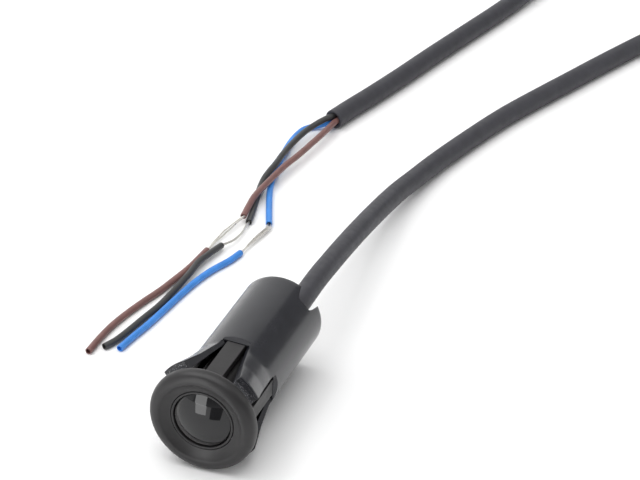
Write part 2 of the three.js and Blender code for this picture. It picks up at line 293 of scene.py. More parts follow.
def in_head(piece, roll=ROLL):
    """Moves a piece from the head's own frame to its place."""
    piece.data.transform(Matrix.Translation((0, HEAD_Y, AXIS_Z)) @ Matrix.Rotation(roll, 4, "Y"))
    return piece


# ---------- routes and tubes ----------
def smooth_route(points, steps):
    """A smooth curve through the points, with this many steps per span."""
    points = [Vector(point) for point in points]
    padded = [2 * points[0] - points[1], *points, 2 * points[-1] - points[-2]]
    route = []
    for a, b, c, d in zip(padded, padded[1:], padded[2:], padded[3:]):
        for i in range(steps):
            t = i / steps
            linear = (c - a) * t
            square = (2 * a - 5 * b + 4 * c - d) * t * t
            cube = (3 * b - a - 3 * c + d) * t ** 3
            route.append(b + (linear + square + cube) / 2)
    return [*route, points[-1]]


def route_frames(route):
    """At each point: the point and two directions across the route, with no twist along it."""
    frames = []
    across = None
    for i, point in enumerate(route):
        before, after = route[max(i - 1, 0)], route[min(i + 1, len(route) - 1)]
        along = (after - before).normalized()
        if across is None:
            across = Vector((0, 0, 1)).cross(along)
        across = (across - along * across.dot(along)).normalized()
        frames.append((point, along, across, along.cross(across)))
    return frames


# Ends of a tube: (distance past the end, radius) rings, both as shares of the tube's radius.
HOLLOW_CUT = [(0.08, 0.93), (0.08, 0.74), (-0.9, 0.72)]
SOLID_CUT = [(0.08, 0.92), (0.08, 0.5)]
SOFT_END = [(0.2, 0.95), (0.34, 0.8), (0.38, 0.62), (0.3, 0.5), (-0.3, 0.48)]


def tube(form, route, radius, sides, start=SOLID_CUT, end=SOLID_CUT):
    frames = route_frames(route)
    turns = [2 * math.pi * i / sides for i in range(sides)]

    def ring(centre, across, up, size):
        around = [across * math.cos(a) + up * math.sin(a) for a in turns]
        return [form.verts.new(centre + size * outward) for outward in around]

    point, along, across, up = frames[0]
    rings = []
    for past, share in reversed(start):
        rings.append(ring(point - along * radius * past, across, up, radius * share))
    for point, along, across, up in frames:
        rings.append(ring(point, across, up, radius))
    for past, share in end:
        rings.append(ring(point + along * radius * past, across, up, radius * share))
    bridge(form, rings)
    form.faces.new(rings[0])
    form.faces.new(rings[-1])


# ---------- materials ----------
def node(made, kind, inputs=(), **settings):
    """Adds a shader node. inputs are (socket, value or output) pairs."""
    new = made.node_tree.nodes.new(kind)
    for key, value in settings.items():
        setattr(new, key, value)
    for socket, value in inputs:
        if isinstance(value, bpy.types.NodeSocket):
            made.node_tree.links.new(value, new.inputs[socket])
        else:
            new.inputs[socket].default_value = value
    return new


def noise(made, size, detail=3.0, stretch=(1, 1, 1)):
    """A noise whose features are about this size."""
    place = node(made, "ShaderNodeTexCoord").outputs["Object"]
    scaled = node(made, "ShaderNodeMapping", [("Vector", place), ("Scale", stretch)]).outputs["Vector"]
    inputs = [("Vector", scaled), ("Scale", 1 / size), ("Detail", detail)]
    return node(made, "ShaderNodeTexNoise", inputs).outputs["Fac"]


def spread(made, value, low, high, from_low=0.3, from_high=0.7):
    """Stretches a noise's usual range onto low to high."""
    inputs = [
        ("Value", value), ("From Min", from_low), ("From Max", from_high), ("To Min", low), ("To Max", high),
    ]
    return node(made, "ShaderNodeMapRange", inputs).outputs["Result"]


def mixed(made, share, first, second):
    mix = node(made, "ShaderNodeMix", data_type="RGBA")
    for index, value in ((0, share), (6, first), (7, second)):
        if isinstance(value, bpy.types.NodeSocket):
            made.node_tree.links.new(value, mix.inputs[index])
        else:
            mix.inputs[index].default_value = value if index == 0 else (*value, 1)
    return mix.outputs[2]


def shade(colour, factor):
    return tuple(part * factor for part in colour)


def surface(name, colour, roughness, patch=2.5 * MM, variation=0.12, grain=(), metallic=0.0):
    """Moulded or drawn stuff: patchy colour and gloss, and a bump for each (size, height, detail) grain."""
    made = bpy.data.materials.new(name)
    made.use_nodes = True
    shader = made.node_tree.nodes["Principled BSDF"]
    shader.inputs["Metallic"].default_value = metallic
    link = made.node_tree.links.new
    patches = noise(made, patch)
    darker, lighter = shade(colour, 1 - variation), shade(colour, 1 + variation)
    tint = mixed(made, spread(made, patches, 0, 1), darker, lighter)
    link(tint, shader.inputs["Base Color"])
    link(spread(made, noise(made, patch * 0.6), *roughness), shader.inputs["Roughness"])
    normal = None
    for size, height, detail in grain:
        inputs = [("Height", noise(made, size, detail)), ("Distance", height), ("Strength", 1.0)]
        if normal is not None:
            inputs.append(("Normal", normal))
        normal = node(made, "ShaderNodeBump", inputs).outputs["Normal"]
    if normal is not None:
        link(normal, shader.inputs["Normal"])
    return made


def add_specks(made, colour, size, amount):
    """Fine pale dust on the surface."""
    shader = made.node_tree.nodes["Principled BSDF"]
    base = shader.inputs["Base Color"].links[0].from_socket
    share = spread(made, noise(made, size, 1.0), 0, 0.8, 1 - amount, 1 - amount + 0.04)
    made.node_tree.links.new(mixed(made, share, base, colour), shader.inputs["Base Color"])
    return made


BARREL_BLACK = (0.018, 0.0185, 0.023)
COLLAR_BLACK = (0.0175, 0.0165, 0.0175)
JACKET_GREY = (0.0335, 0.033, 0.041)

materials = {
    "housing": surface(
        "glossy_plastic", BARREL_BLACK, (0.17, 0.24),
        grain=[(0.9 * MM, 0.002 * MM, 2), (0.12 * MM, 0.0006 * MM, 3)],
    ),
    "collar": surface(
        "matte_plastic", COLLAR_BLACK, (0.38, 0.46),
        grain=[(0.14 * MM, 0.004 * MM, 4), (1.1 * MM, 0.004 * MM, 2)],
    ),
    "lens": surface(
        "infrared_window", (0.006, 0.006, 0.007), (0.02, 0.035), grain=[(2 * MM, 0.0006 * MM, 1)],
    ),
    "potting": surface("resin", (0.022, 0.022, 0.024), (0.16, 0.3), grain=[(1.2 * MM, 0.03 * MM, 2)]),
    "cable_jacket": surface(
        "cable_jacket", JACKET_GREY, (0.5, 0.62),
        grain=[(0.22 * MM, 0.010 * MM, 4), (2.6 * MM, 0.05 * MM, 2)],
    ),
    "wire_brown": surface(
        "brown_insulation", (0.186, 0.090, 0.081), (0.4, 0.52), grain=[(0.15 * MM, 0.004 * MM, 3)],
    ),
    "wire_black": surface(
        "black_insulation", (0.040, 0.040, 0.041), (0.4, 0.52), grain=[(0.15 * MM, 0.004 * MM, 3)],
    ),
    "wire_blue": surface(
        "blue_insulation", (0.040, 0.232, 0.680), (0.4, 0.52), grain=[(0.15 * MM, 0.004 * MM, 3)],
    ),
    "tinned_copper": surface(
        "tinned_copper", (0.74, 0.72, 0.68), (0.25, 0.42), 0.6 * MM, 0.06,
        [(0.1 * MM, 0.002 * MM, 3)], metallic=1.0,
    ),
    "tie": surface("nylon", (0.70, 0.70, 0.67), (0.34, 0.46), grain=[(0.3 * MM, 0.006 * MM, 3)]),
    "board": surface("solder_mask", (0.03, 0.14, 0.05), (0.28, 0.4), grain=[(0.8 * MM, 0.01 * MM, 2)]),
    "chip": surface("moulded_epoxy", (0.020, 0.020, 0.021), (0.45, 0.6), grain=[(0.1 * MM, 0.006 * MM, 4)]),
    "ceramic": surface("ceramic", (0.40, 0.29, 0.17), (0.4, 0.55), grain=[(0.1 * MM, 0.004 * MM, 3)]),
}
materials["collar"].node_tree.nodes["Principled BSDF"].inputs["Specular IOR Level"].default_value = 0.45


# Painted glow on the lens: a paler base colour towards its lower left edge stands in for light passing
# through the plastic.
PAINTED_GLOW = (0.10, 0.097, 0.097)
PAINTED_GLOW_REACH = (3.7 * MM, 5.9 * MM)
PAINTED_GLOW_OFFSET = 0.9 * MM


def add_painted_rim_glow(made, colour, reach):
    """A painted glow: a paler base colour towards the lens's lower left edge, standing in for light that
    passes through the plastic.
    """
    shader = made.node_tree.nodes["Principled BSDF"]
    base = shader.inputs["Base Color"].links[0].from_socket
    place = node(made, "ShaderNodeTexCoord").outputs["Object"]
    location = (-PAINTED_GLOW_OFFSET, 0, -AXIS_Z - PAINTED_GLOW_OFFSET)
    moved = [("Vector", place), ("Scale", (1, 0, 1)), ("Location", location)]
    across = node(made, "ShaderNodeMapping", moved).outputs["Vector"]
    distance = node(made, "ShaderNodeVectorMath", [("Vector", across)], operation="LENGTH").outputs["Value"]
    inputs = [("Value", distance), ("From Min", reach[0]), ("From Max", reach[1])]
    share = node(made, "ShaderNodeMapRange", inputs, interpolation_type="SMOOTHSTEP").outputs["Result"]
    squared = node(made, "ShaderNodeMath", [(0, share), (1, 2.0)], operation="POWER").outputs["Value"]
    made.node_tree.links.new(mixed(made, squared, base, colour), shader.inputs["Base Color"])


DUST = (0.42, 0.42, 0.45)
DUST_SIZE = 0.14 * MM
DUST_SHARE = 0.36

add_painted_rim_glow(materials["lens"], PAINTED_GLOW, PAINTED_GLOW_REACH)
materials["dusty"] = add_specks(
    surface("dusty_plastic", BARREL_BLACK, (0.34, 0.5), grain=[(0.1 * MM, 0.006 * MM, 4)]),
    DUST, DUST_SIZE, DUST_SHARE,
)


def show(piece, body, nodes, finish):
    """Puts a finished piece on its body, in place of its CAD nodes."""
    piece.data.materials.clear()
    piece.data.materials.append(materials[finish])
    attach(piece, body)
    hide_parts(*nodes)
    return piece


# ---------- the cable: one curve from inside the barrel, through its coil, to the stripped end ----
LEAD_ROUTE = [
    (0.0029, 0.007375, 0.01115), (0.0029, 0.012, 0.01115), (0.0029, 0.017, 0.01115),
    (0.00285, 0.0204, 0.0111), (0.0027, 0.0239, 0.0109), (0.0025, 0.0279, 0.0105),
    (0.00235, 0.0322, 0.00995), (0.0020, 0.0393, 0.00885), (0.0016, 0.0475, 0.0074),
    (0.0012, 0.0582, 0.0054), (0.00125, 0.0689, 0.0036), (0.00205, 0.0772, 0.0025),
    (0.0035, 0.0855, 0.0020), (0.0062, 0.0957, 0.00186), (0.0091, 0.1051, 0.00186),
    (0.0119, 0.1125, 0.00186), (0.0160, 0.1224, 0.00186), (0.0208, 0.1340, 0.00186),
    (0.0258, 0.1454, 0.00186), (0.0314, 0.1566, 0.00195), (0.0374, 0.1676, 0.0022),
    (0.0427, 0.1783, 0.00245),
]
TAIL_ROUTE = [
    (-0.0006, 0.1840, 0.0088), (-0.00055, 0.1785, 0.0067), (-0.0009, 0.1710, 0.0043),
    (-0.0018, 0.1630, 0.0026), (-0.0035, 0.1552, 0.00195), (-0.0053, 0.1480, 0.00186),
    (-0.0072, 0.1410, 0.00186), (-0.0094, 0.1330, 0.00186), (-0.0116, 0.1249, 0.00186),
    (-0.0142, 0.1148, 0.00186), (-0.0168, 0.1055, 0.00186), (-0.0189, 0.0986, 0.00186),
    (-0.0202, 0.0939, 0.00186),
]
COIL_LOW, COIL_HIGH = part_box("cable_coil")
COIL_X = (COIL_LOW[0] + COIL_HIGH[0]) / 2
COIL_Y = (COIL_LOW[1] + COIL_HIGH[1]) / 2
COIL_OUTER_R = 26.3 * MM   # to the middle of the cable
COIL_INNER_R = 13.7 * MM
COIL_FOOT_Z = COIL_LOW[2] + CABLE_R
COIL_ROW_RISE = 3.25 * MM
COIL_ROWS = 4
COIL_START = math.radians(-20)
COIL_TURNS = 13 + 208 / 360
CLIMB_START = 0.86         # the share of a row after which the cable climbs to the next one


def coil_route(per_turn=16):
    """Each row winds from the outside in or from the inside out, then climbs to the next."""
    count = round(COIL_TURNS * per_turn)
    route = []
    for i in range(count + 1):
        turns = COIL_TURNS * i / count
        row_place = COIL_ROWS * turns / COIL_TURNS
        row = min(int(row_place), COIL_ROWS - 1)
        share = row_place - row
        inward = share if row % 2 == 0 else 1 - share
        radius = COIL_OUTER_R + (COIL_INNER_R - COIL_OUTER_R) * inward
        climb = max(0.0, (share - CLIMB_START) / (1 - CLIMB_START)) if row < COIL_ROWS - 1 else 0.0
        z = COIL_FOOT_Z + COIL_ROW_RISE * (row + climb * climb * (3 - 2 * climb))
        angle = COIL_START + 2 * math.pi * turns
        route.append((COIL_X + radius * math.cos(angle), COIL_Y + radius * math.sin(angle), z))
    return route


def make_cable():
    route = smooth_route(LEAD_ROUTE + coil_route() + TAIL_ROUTE, 4)
    mesh = mesh_from(tube, route, CABLE_R, 28, SOLID_CUT, HOLLOW_CUT)
    nodes = ["cable_lead", "cable_coil", "cable_tail"]
    cable = show(new_object("cable", mesh), "sensor_body", nodes, "cable_jacket")
    return cable, route


cable, cable_route = make_cable()


# ---------- the three wires ----------
WIRES = {
    "brown": {
        "insulation": [
            (-0.0197, 0.0931, 0.00175), (-0.0198, 0.0906, 0.00195), (-0.0200, 0.0882, 0.0020),
            (-0.0203, 0.0859, 0.00195), (-0.0207, 0.0832, 0.0019), (-0.0211, 0.0802, 0.0019),
            (-0.02155, 0.0773, 0.0019), (-0.02205, 0.0748, 0.0019), (-0.0224, 0.0723, 0.0019),
            (-0.02265, 0.0694, 0.0019), (-0.0229, 0.0664, 0.0019), (-0.0231, 0.0637, 0.0019),
            (-0.02315, 0.0612, 0.0019), (-0.0230, 0.0587, 0.0017), (-0.0227, 0.0552, 0.00135),
        ],
        "strands": [
            (-0.02275, 0.05485, 0.00125), (-0.02335, 0.0535, 0.00095), (-0.0238, 0.0516, 0.0007),
            (-0.02415, 0.0501, 0.0006), (-0.0243, 0.0482, 0.0006), (-0.02455, 0.0464, 0.0006),
            (-0.0246, 0.0438, 0.0006),
        ],
        "sleeve": [
            (-0.02465, 0.0432, 0.0006), (-0.02515, 0.0372, 0.0006), (-0.0260, 0.0324, 0.0006),
            (-0.0269, 0.0281, 0.0006), (-0.0281, 0.0238, 0.0006), (-0.0292, 0.0192, 0.0006),
            (-0.0299, 0.0151, 0.0006), (-0.0302, 0.0109, 0.0006), (-0.03025, 0.0067, 0.0006),
        ],
    },
    "black": {
        "insulation": [
            (-0.02065, 0.0935, 0.0025), (-0.0211, 0.0925, 0.0026), (-0.0220, 0.0909, 0.0024),
            (-0.02285, 0.0892, 0.0021), (-0.0235, 0.0871, 0.00195), (-0.0239, 0.0840, 0.0019),
            (-0.02415, 0.0806, 0.00185), (-0.0242, 0.0775, 0.00185), (-0.02415, 0.0742, 0.00175),
            (-0.02435, 0.0715, 0.0015), (-0.02455, 0.0692, 0.00095), (-0.0241, 0.0660, 0.0006),
            (-0.02315, 0.0621, 0.0006), (-0.0223, 0.0585, 0.0006), (-0.0215, 0.0548, 0.0006),
        ],
        "strands": [
            (-0.02145, 0.05425, 0.0006), (-0.02135, 0.0525, 0.0006), (-0.0212, 0.0507, 0.00065),
            (-0.0213, 0.0490, 0.00075), (-0.0215, 0.0476, 0.00085), (-0.0219, 0.0466, 0.0009),
            (-0.0224, 0.0456, 0.00095),
        ],
        "sleeve": [
            (-0.0227, 0.0451, 0.00095), (-0.0234, 0.0418, 0.0011), (-0.0240, 0.0382, 0.00127),
            (-0.0241, 0.0343, 0.0011), (-0.0245, 0.0297, 0.0008), (-0.0250, 0.0239, 0.00065),
            (-0.02595, 0.0189, 0.0006), (-0.0268, 0.0140, 0.0006), (-0.0275, 0.0110, 0.0006),
            (-0.0284, 0.0089, 0.0006),
        ],
    },
    "blue": {
        "insulation": [
            (-0.0210, 0.0933, 0.0013), (-0.0217, 0.09295, 0.00105), (-0.0227, 0.0925, 0.0008),
            (-0.0240, 0.0916, 0.0006), (-0.0250, 0.0899, 0.0006), (-0.0254, 0.0867, 0.0006),
            (-0.0253, 0.0830, 0.0006), (-0.0249, 0.0795, 0.0006), (-0.02435, 0.0764, 0.0006),
            (-0.0239, 0.0739, 0.0006), (-0.0235, 0.0714, 0.0006), (-0.02295, 0.0690, 0.0006),
            (-0.0221, 0.0662, 0.0006), (-0.0209, 0.0630, 0.0006), (-0.0196, 0.0597, 0.0006),
            (-0.0179, 0.0555, 0.0006),
        ],
        "strands": [
            (-0.0178, 0.0551, 0.0006), (-0.01755, 0.0541, 0.0006), (-0.0177, 0.0530, 0.0006),
            (-0.01805, 0.0508, 0.0006), (-0.0183, 0.0491, 0.0006), (-0.0185, 0.0472, 0.0006),
            (-0.01875, 0.0450, 0.0006),
        ],
        "sleeve": [
            (-0.01885, 0.0445, 0.0006), (-0.0197, 0.0412, 0.0006), (-0.0213, 0.0371, 0.0006),
            (-0.0224, 0.0327, 0.0006), (-0.0231, 0.0281, 0.0006), (-0.0237, 0.0232, 0.0006),
            (-0.0244, 0.0177, 0.0006), (-0.0252, 0.0133, 0.0006), (-0.0258, 0.0093, 0.0006),
        ],
    },
}
FILAMENTS = 7
BUNDLE_R = 0.15 * MM       # to the middle of the outer filaments
PARTED_GAP = 0.24 * MM
FAN_WIDTH = 0.85 * MM


# How a wire's filaments lie: the offset across and up for one filament at a share of the length.
def twisted(turns):
    """One filament in the middle and the others wound round it."""
    def lie(number, share):
        if number == 0:
            return 0.0, 0.0
        angle = 2 * math.pi * (number / (FILAMENTS - 1) + turns * share)
        return BUNDLE_R * math.cos(angle), BUNDLE_R * math.sin(angle)
    return lie


def parted(number, share):
    """Two loose bunches that part between the ends."""
    side = -1 if number < 3 else 1
    gap = PARTED_GAP * math.sin(math.pi * share) ** 1.5
    across, up = twisted(0.5)(number, share)
    return 0.75 * across + side * gap, up * 0.8


def fanned(number, share):
    """Side by side at the wire, together at the sleeve."""
    place = number / (FILAMENTS - 1) - 0.5
    flat = math.sin(math.pi * min(1, 0.15 + share)) ** 0.6
    across, up = twisted(0.6)(number, share)
    return across * (1 - flat) + place * flat * FAN_WIDTH, up * (1 - 0.6 * flat)


LIES = {"brown": parted, "black": twisted(1.2), "blue": fanned}


def filaments(form, route, lie):
    """All the bare strands of one wire."""
    frames = route_frames(route)
    for number in range(FILAMENTS):
        line = []
        for i, (point, along, across, up) in enumerate(frames):
            sideways, upwards = lie(number, i / (len(frames) - 1))
            line.append(point + across * sideways + up * upwards)
        tube(form, line, STRAND_R, 8)


def extended(points, before, after):
    """The route with both ends carried on straight, into the insulation."""
    points = [Vector(point) for point in points]
    first = points[0] + (points[0] - points[1]).normalized() * before
    last = points[-1] + (points[-1] - points[-2]).normalized() * after
    return [first, *points, last]


def make_wire(colour):
    parts = WIRES[colour]
    into_jacket = (Vector(TAIL_ROUTE[-2]) - Vector(TAIL_ROUTE[-1])).normalized() * 1.5 * MM
    inner_end = Vector(parts["insulation"][0]) + into_jacket
    route = smooth_route([inner_end, *parts["insulation"]], 5)
    wire = new_object(f"insulation_{colour}", mesh_from(tube, route, WIRE_R, 20, SOLID_CUT, HOLLOW_CUT))
    strand_route = smooth_route(extended(parts["strands"], 0.8 * MM, 1.2 * MM), 7)
    strands = new_object(f"filaments_{colour}", mesh_from(filaments, strand_route, LIES[colour]))
    sleeve_route = smooth_route(parts["sleeve"], 5)
    sleeve_mesh = mesh_from(tube, sleeve_route, WIRE_R, 20, SOFT_END, HOLLOW_CUT)
    sleeve = new_object(f"end_sleeve_{colour}", sleeve_mesh)
    for piece, cad_node, slot in (
        (wire, f"wire_{colour}", f"wire_{colour}"),
        (strands, f"strands_{colour}", "tinned_copper"),
        (sleeve, f"sleeve_{colour}", f"wire_{colour}"),
    ):
        show(piece, "sensor_body", [cad_node], slot)


for wire_colour in WIRES:
    make_wire(wire_colour)

# ---------- the tie round the coil ----------
TIE_ANGLE = math.radians(60)
TIE_WIDTH = 2.6 * MM
TIE_THICK = 0.6 * MM
TIE_CORNER = 2.0 * MM
TIE_GAP = 0.04 * MM
TIE_HEAD_HALF = 2.3 * MM
TIE_HEAD_HEIGHT = 2.9 * MM


def tie_outline(margin):
    """A rounded rectangle round the bundle of turns: (distance from the coil's middle, z)."""
    left, right = COIL_INNER_R - CABLE_R - margin, COIL_OUTER_R + CABLE_R + margin
    low = COIL_FOOT_Z - CABLE_R - margin
    high = COIL_FOOT_Z + (COIL_ROWS - 1) * COIL_ROW_RISE + CABLE_R + margin
    radius = TIE_CORNER + margin
    corners = [(right, high, 0), (left, high, 1), (left, low, 2), (right, low, 3)]
    outline = []
    for x, z, quarter in corners:
        middle_x = x - radius if x == right else x + radius
        middle_z = z - radius if z == high else z + radius
        for i in range(9):
            turn = math.pi / 2 * (quarter + i / 8)
            outline.append((middle_x + radius * math.cos(turn), middle_z + radius * math.sin(turn)))
    return outline


def tie_band(form):
    loops = []
    for margin, side in ((TIE_GAP, -1), (TIE_THICK, -1), (TIE_THICK, 1), (TIE_GAP, 1)):
        depth = side * TIE_WIDTH / 2
        loops.append([form.verts.new((x, depth, z)) for x, z in tie_outline(margin)])
    bridge(form, [*loops, loops[0]])


def make_tie():
    """The band, its locking head on top of the coil, and the trimmed end that comes out of it."""
    band = rounded(new_object("coil_band", mesh_from(tie_band)), 0.12 * MM, 2)
    top = COIL_FOOT_Z + (COIL_ROWS - 1) * COIL_ROW_RISE + CABLE_R + 0.1 * MM
    middle = (COIL_INNER_R + COIL_OUTER_R) / 2
    low = (middle - TIE_HEAD_HALF, -TIE_HEAD_HALF, top)
    high = (middle + TIE_HEAD_HALF, TIE_HEAD_HALF, top + TIE_HEAD_HEIGHT)
    head = new_object("tie_head", mesh_from(block, low, high))
    slot_low = (middle - 1.2 * MM, -1.5 * MM, top + 1.6 * MM)
    slot = new_object("slot", mesh_from(block, slot_low, (middle + 1.2 * MM, 1.5 * MM, top + 4 * MM)))
    rounded(joined(head, [slot], "DIFFERENCE"), 0.25 * MM, 3)
    end_low = (middle - 0.9 * MM, -TIE_WIDTH / 2 + 0.15 * MM, top + 1.0 * MM)
    end_high = (middle - 0.2 * MM, TIE_WIDTH / 2 - 0.15 * MM, top + 3.1 * MM)
    trimmed = rounded(new_object("trimmed_end", mesh_from(block, end_low, end_high)), 0.08 * MM, 2)
    joined(band, [head, trimmed])
    band.data.set_sharp_from_angle(angle=math.radians(40))
    place = Matrix.Translation((COIL_X, COIL_Y, 0)) @ Matrix.Rotation(TIE_ANGLE, 4, "Z")
    band.data.transform(place)
    return show(band, "sensor_body", ["coil_tie"], "tie")


coil_tie = make_tie()


# ---------- bezel collar: flange with its funnel, four guide legs and the spigot ----------
def collar_profile():
    lip = 0.45 * MM
    shoulder = CREST_Y + 0.12 * MM
    inner = RING_R + RING_GAP
    profile = bow((inner, RING_Y + 0.1 * MM), FUNNEL_CONTROL, (CREST_R - lip, shoulder), 12)
    profile += bow((CREST_R - lip, shoulder), (CREST_R, CREST_Y - 0.06 * MM), (CREST_R + lip, shoulder), 8)
    profile += bow((CREST_R + lip, shoulder), (FLANGE_R, -1.25 * MM), (FLANGE_R, 0), 12)
    profile += bow((FLANGE_R, 0), (FLANGE_R, 0.6 * MM), (FLANGE_R - 0.3 * MM, SEAT_Y), 6)
    return [*profile, (FLANGE_R - 0.3 * MM, SEAT_Y), (inner, SEAT_Y)]


def make_leg(number):
    """A guide leg, with the tab under its end that joins it to the spigot."""
    leg_low, leg_high = (-LEG_HALF, LEG_START_Y, LEG_UNDER), (LEG_HALF, LEG_END_Y, LEG_FACE)
    leg = rounded(new_object("leg", mesh_from(block, leg_low, leg_high)), 0.13 * MM, 3)
    tab_low = (-TAB_HALF, LEG_END_Y - 0.4 * MM, LEG_UNDER + 0.05 * MM)
    tab = new_object("tab", mesh_from(block, tab_low, (TAB_HALF, TAB_END_Y, TAB_TOP)))
    return turned_about_axis(joined(leg, [tab]), number * math.pi / 2)


def make_collar():
    collar = new_object("collar", mesh_from(lathe, collar_profile(), 160))
    spigot_profile = [
        (SPIGOT_BORE, SPIGOT_START_Y), (SPIGOT_R, SPIGOT_START_Y),
        (SPIGOT_R, SPIGOT_END_Y), (SPIGOT_BORE, SPIGOT_END_Y),
    ]
    spigot = new_object("spigot", mesh_from(lathe, spigot_profile, 96))
    joined(collar, [spigot, *(make_leg(number) for number in range(4))])
    collar.data.set_sharp_from_angle(angle=math.radians(38))
    evened(collar)
    return show(in_head(collar), "sensor_body", ["bezel_collar"], "collar")


# ---------- barrel: tube with a ramp behind each leg and a notch beside the cable ----------
def ramp_cutter(number):
    """The sloped scoop behind a leg, and the slot in which the leg ends."""
    foot = LEG_END_Y + RAMP_GAP
    start, far = foot - MM, foot + RAMP_LENGTH
    front, top = LEG_FACE - RAMP_RISE * MM, LEG_FACE + RAMP_RISE * RAMP_LENGTH
    wedge = [(start, front), (far, top), (start, top)]
    scoop = new_object("scoop", mesh_from(prism, wedge, -RAMP_HALF, RAMP_HALF, lambda y, z, x: (x, y, z)))
    slot_low = (-SLOT_HALF, start, SLOT_FLOOR)
    slot = new_object("slot", mesh_from(block, slot_low, (SLOT_HALF, foot, BARREL_R + MM)))
    joined(scoop, [slot])
    return turned_about_axis(scoop, number * math.pi / 2)


def notch_cutter():
    """A notch with rounded sides in the rear rim."""
    side = bow((NOTCH_HALF, REAR_Y), (1.6 * MM, NOTCH_FLOOR_Y), (NOTCH_FLOOR_HALF, NOTCH_FLOOR_Y), 10)
    half = [(NOTCH_HALF + 0.4 * MM, REAR_Y + MM), *side, (NOTCH_FLOOR_HALF, NOTCH_FLOOR_Y)]
    outline = half + [(-x, y) for x, y in reversed(half)]
    cutter = new_object("notch", mesh_from(prism, outline, 4.5 * MM, 8.5 * MM, lambda x, y, z: (x, y, z)))
    return turned_about_axis(cutter, NOTCH_ANGLE)


def on_front_rim(at):
    """Whether a point is on the outer front edge, which runs on into the wings."""
    return at.y < BARREL_FRONT_Y + 0.01 * MM and math.hypot(at.x, at.z) > BARREL_R - 0.01 * MM


def make_barrel():
    rows = 30
    wall = straight((BARREL_R, BARREL_FRONT_Y), (BARREL_R, REAR_Y), rows) + [(BARREL_R, REAR_Y)]
    wall += straight((BORE_R, REAR_Y), (BORE_R, BARREL_FRONT_Y), rows) + [(BORE_R, BARREL_FRONT_Y)]
    barrel = new_object("barrel", mesh_from(lathe, wall, 220))
    joined(barrel, [notch_cutter(), *(ramp_cutter(number) for number in range(4))], "DIFFERENCE")
    rounded(barrel, 0.12 * MM, 3, 15, on_front_rim)
    evened(barrel)
    return show(in_head(barrel), "sensor_body", ["barrel_housing"], "housing")


# ---------- snap wings ----------
ROOT_END_Y = BARREL_FRONT_Y + 0.3 * MM
FLUSH_R = BARREL_R + 0.003 * MM
# Half of the wall that is left between two scoops, which is as wide as a wing can be at its root.
FLUSH_HALF = BARREL_R * math.sin(math.pi / 4 - math.asin(RAMP_HALF / BARREL_R))


def wing_outside():
    """The wing's outer line from its root to its tongue: (radius, y)."""
    line = straight((FLUSH_R, ROOT_END_Y), (FLUSH_R, 11.6 * MM), 2)
    line += bow((FLUSH_R, 11.6 * MM), (FLUSH_R, 10.9 * MM), (FLARE_R, FLARE_Y), 10)
    before, after = (BEND_R - 0.08 * MM, BEND_Y + 0.4 * MM), (BEND_R + 0.12 * MM, BEND_Y - 0.4 * MM)
    line += straight((FLARE_R, FLARE_Y), before, 8)
    line += bow(before, (BEND_R, BEND_Y), after, 6)
    line += straight(after, (BARB_R, BARB_Y), 8)
    edge = (BARB_R - BARB_EDGE, BARB_Y - 0.06 * MM)
    step = (TONGUE_R + 0.05 * MM, BARB_Y - 0.25 * MM)
    line += [(BARB_R, BARB_Y), edge, step, (TONGUE_R + 0.02 * MM, 1.6 * MM), (TONGUE_R, TONGUE_END_Y)]
    return line


def wing_inside(y):
    """The wing's inner radius at a distance along the axis."""
    if y <= BARB_Y + 0.3 * MM:
        return TONGUE_R - TONGUE_WALL + 0.05 * MM * max(0, (y - TONGUE_END_Y) / (BARB_Y - TONGUE_END_Y))
    share = (y - BARB_Y - 0.3 * MM) / (HINGE_Y - BARB_Y - 0.3 * MM)
    barb_side = TONGUE_R - 0.65 * MM
    return barb_side + (BORE_R + 0.05 * MM - barb_side) * min(1, share)


def wing_half(y):
    """Half the wing's width."""
    taper = (ROOT_HALF - BARB_HALF) / (HINGE_Y - BARB_Y)
    return min(FLUSH_HALF, BARB_HALF + taper * (y - BARB_Y))


def wing_form(form, columns=36):
    """The wing's section, set side by side round the head's axis."""
    outside = wing_outside()
    rings = []
    for column in range(columns + 1):
        side = 2 * column / columns - 1
        ring = []
        inside = [(wing_inside(y), y) for _, y in reversed(outside)]
        for radius, y in outside + inside:
            angle = side * math.asin(min(0.95, wing_half(y) / radius))
            ring.append(form.verts.new((radius * math.sin(angle), y, radius * math.cos(angle))))
        rings.append(ring)
    bridge(form, rings)
    form.faces.new(rings[0])
    form.faces.new(rings[-1])


def at_root_end(at):
    return at.y > ROOT_END_Y - 0.01 * MM


def make_wing(number):
    """A wing, flush with the barrel at its root. Its barb's step and its tongue are dusty."""
    wing = new_object(f"wing_{number}", mesh_from(wing_form))
    rounded(wing, 0.09 * MM, 2, 30, at_root_end)
    evened(wing)
    for finish in ("housing", "dusty"):
        wing.data.materials.append(materials[finish])
    for face in wing.data.polygons:
        if face.center.y < BARB_Y - 0.1 * MM:
            face.material_index = 1
    angle = math.pi / 4 + (number - 1) * math.pi / 2
    in_head(turned_about_axis(wing, angle))
    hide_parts(f"snap_wing_{number}")
    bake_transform(wing)
    return wing


# ---------- optics ----------
def make_optic_tube():
    edge = 0.14 * MM
    lip = bow((RING_BORE, RING_Y + edge), (RING_BORE, RING_Y), (RING_BORE + edge, RING_Y), 4)
    lip += bow((RING_R - edge, RING_Y), (RING_R, RING_Y), (RING_R, RING_Y + edge), 4)
    body = [
        (RING_R, RING_Y + edge), (RING_R, SEAT_Y), (TUBE_R, SEAT_Y + 0.2 * MM), (TUBE_R, TUBE_END_Y),
        (TUBE_BORE, TUBE_END_Y), (TUBE_BORE, TUBE_SEAT_Y), (RING_BORE, TUBE_SEAT_Y),
    ]
    tube_piece = new_object("lens_tube", mesh_from(lathe, lip + body, 128), 50)
    return show(in_head(tube_piece, 0), "sensor_body", ["optic_tube"], "collar")


